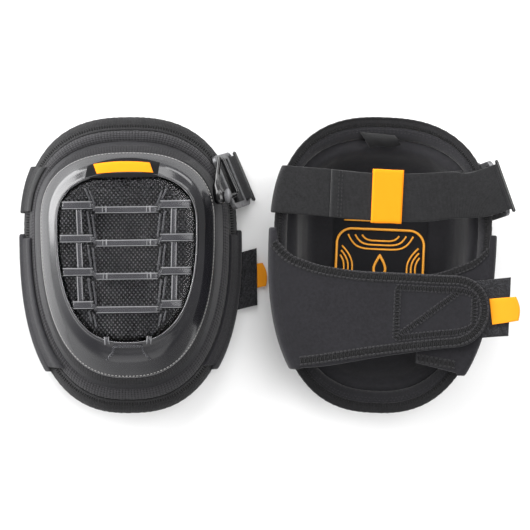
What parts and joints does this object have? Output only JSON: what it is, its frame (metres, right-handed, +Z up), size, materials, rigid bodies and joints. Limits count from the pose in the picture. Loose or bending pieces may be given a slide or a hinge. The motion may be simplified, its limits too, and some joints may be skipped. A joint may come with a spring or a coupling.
{
  "type": "knee pads",
  "caption": "Strap-on knee pads with a ribbed clear cap over a padded shell, webbing strap with a hook buckle and a wide stretch wrap with pull tab, laid out as a pair.",
  "frame": {"origin": "middle of the whole pair's bounding box, on the floor that both pads lie on", "axes": "+X along the row from the left pad to the right pad, +Y up the leg towards the thigh, +Z up from the floor"},
  "size_m": [0.4254, 0.2536, 0.083],
  "materials": {
    "clear_shell": "clear smoked gloss, sewn flange",
    "insert_mesh": "black mesh with light dots",
    "label_dark": "matt",
    "accent": "woven yellow",
    "cover_fabric": "charcoal weave",
    "tape": "woven tape",
    "liner_fabric": "brushed knit",
    "foam": "closed-cell foam, hidden",
    "gel": "soft gel, hidden",
    "print": "raised print",
    "webbing": "ribbed elastic webbing",
    "neoprene": "fleece-faced neoprene",
    "buckle_metal": "grey, worn edges",
    "buckle_plastic": "black gloss",
    "knob_plastic": "grey matt",
    "hook_tape": "coarse hook tape"
  },
  "bodies": {
    "left_pad": {"left_cap": "clear_shell", "left_grip_insert": "insert_mesh", "left_label_plate": "label_dark", "left_label_strip": "accent", "left_outer_cover": "cover_fabric", "left_foam_core": "foam", "left_rim_band": "cover_fabric", "left_edge_binding": "tape", "left_liner_border": "liner_fabric", "left_liner": "liner_fabric", "left_gel_pad": "gel", "left_gel_panel": "liner_fabric", "left_panel_print": "print", "left_strap_base": "webbing", "left_wrap_base": "neoprene", "left_wing_base": "cover_fabric", "left_buckle_hook": "buckle_plastic", "left_buckle_knob": "knob_plastic", "left_buckle_anchor": "tape"},
    "left_strap": {"left_upper_strap": "webbing", "left_strap_tail": "webbing"},
    "left_keeper": {"left_strap_keeper": "accent"},
    "left_frame": {"left_buckle_frame": "buckle_metal"},
    "left_wrap": {"left_wrap_strap": "neoprene", "left_wrap_binding": "tape", "left_hook_patch": "hook_tape"},
    "left_wing": {"left_side_wing": "neoprene", "left_wing_binding": "tape"},
    "left_tab": {"left_pull_tab": "accent"},
    "left_loop": {"left_hang_loop": "tape"},
    "right_pad": {"right_cap": "clear_shell", "right_grip_insert": "insert_mesh", "right_label_plate": "label_dark", "right_label_strip": "accent", "right_outer_cover": "cover_fabric", "right_foam_core": "foam", "right_rim_band": "cover_fabric", "right_edge_binding": "tape", "right_liner_border": "liner_fabric", "right_liner": "liner_fabric", "right_gel_pad": "gel", "right_gel_panel": "liner_fabric", "right_panel_print": "print", "right_strap_base": "webbing", "right_wrap_base": "neoprene", "right_wing_base": "cover_fabric", "right_buckle_hook": "buckle_plastic", "right_buckle_knob": "knob_plastic", "right_buckle_anchor": "tape"},
    "right_strap": {"right_upper_strap": "webbing", "right_strap_tail": "webbing"},
    "right_keeper": {"right_strap_keeper": "accent"},
    "right_frame": {"right_buckle_frame": "buckle_metal"},
    "right_wrap": {"right_wrap_strap": "neoprene", "right_wrap_binding": "tape", "right_hook_patch": "hook_tape"},
    "right_wing": {"right_side_wing": "neoprene", "right_wing_binding": "tape"},
    "right_tab": {"right_pull_tab": "accent"},
    "right_loop": {"right_hang_loop": "tape"}
  },
  "joints": [
    {"name": "pads_apart", "type": "slide", "parent": "left_pad", "child": "right_pad", "axis": [1, 0, 0], "range_m": [0, 0.15]},
    {"name": "left_upper_strap_open", "type": "hinge", "parent": "left_pad", "child": "left_strap", "pos_m": [-0.21238, 0.05883, 0.00505], "axis": [-0.0122, 0.9999, 0], "range_deg": [0, 110]},
    {"name": "left_buckle_frame_swing", "type": "hinge", "parent": "left_strap", "child": "left_frame", "pos_m": [-0.02296, 0.07514, 0.0049], "axis": [0.3859, -0.9225, 0], "range_deg": [0, 25]},
    {"name": "left_keeper_slide", "type": "slide", "parent": "left_strap", "child": "left_keeper", "axis": [0.9999, 0.0122, 0], "range_m": [-0.023, 0.011]},
    {"name": "left_wrap_open", "type": "hinge", "parent": "left_pad", "child": "left_wrap", "pos_m": [-0.21268, -0.03118, 0.0006], "axis": [-0.0122, 0.9999, 0], "range_deg": [0, 110]},
    {"name": "left_wing_relax", "type": "hinge", "parent": "left_pad", "child": "left_wing", "pos_m": [-0.01869, -0.02881, 0.00665], "axis": [0.0122, -0.9999, 0], "range_deg": [0, 50]},
    {"name": "left_pull_tab_flex", "type": "hinge", "parent": "left_wrap", "child": "left_tab", "pos_m": [-0.02266, -0.01489, 0.003], "axis": [-0.0993, 0.9951, 0], "range_deg": [0, 60], "stiffness_Nm_per_rad": 0.01},
    {"name": "left_hang_loop_flip", "type": "hinge", "parent": "left_pad", "child": "left_loop", "pos_m": [-0.11744, 0.11349, 0.03965], "axis": [0.9999, 0.0122, 0], "range_deg": [0, 70], "stiffness_Nm_per_rad": 0.005},
    {"name": "right_upper_strap_open", "type": "hinge", "parent": "right_pad", "child": "right_strap", "pos_m": [0.00545, 0.06395, 0.078], "axis": [-0.0419, -0.9991, 0], "range_deg": [0, 110]},
    {"name": "right_buckle_frame_swing", "type": "hinge", "parent": "right_strap", "child": "right_frame", "pos_m": [0.19726, 0.06492, 0.07815], "axis": [-0.3355, 0.9421, 0], "range_deg": [0, 25]},
    {"name": "right_keeper_slide", "type": "slide", "parent": "right_strap", "child": "right_keeper", "axis": [0.9991, -0.0419, 0], "range_m": [-0.023, 0.011]},
    {"name": "right_wrap_open", "type": "hinge", "parent": "right_pad", "child": "right_wrap", "pos_m": [0.00028, -0.02591, 0.08245], "axis": [-0.0419, -0.9991, 0], "range_deg": [0, 110]},
    {"name": "right_wing_relax", "type": "hinge", "parent": "right_pad", "child": "right_wing", "pos_m": [0.19411, -0.03404, 0.0764], "axis": [0.0419, 0.9991, 0], "range_deg": [0, 50]},
    {"name": "right_pull_tab_flex", "type": "hinge", "parent": "right_wrap", "child": "right_tab", "pos_m": [0.18996, -0.04237, 0.08005], "axis": [0.0454, -0.999, 0], "range_deg": [0, 60], "stiffness_Nm_per_rad": 0.01},
    {"name": "right_hang_loop_flip", "type": "hinge", "parent": "right_pad", "child": "right_loop", "pos_m": [0.1032, 0.1134, 0.0434], "axis": [-0.9991, 0.0419, 0], "range_deg": [0, 70], "stiffness_Nm_per_rad": 0.005}
  ],
  "couplings": [
    {"joint": "left_buckle_frame_swing", "follows": "left_upper_strap_open", "ratio": 0.22},
    {"joint": "left_wing_relax", "follows": "left_wrap_open", "ratio": 0.45},
    {"joint": "right_buckle_frame_swing", "follows": "right_upper_strap_open", "ratio": 0.22},
    {"joint": "right_wing_relax", "follows": "right_wrap_open", "ratio": 0.45}
  ]
}
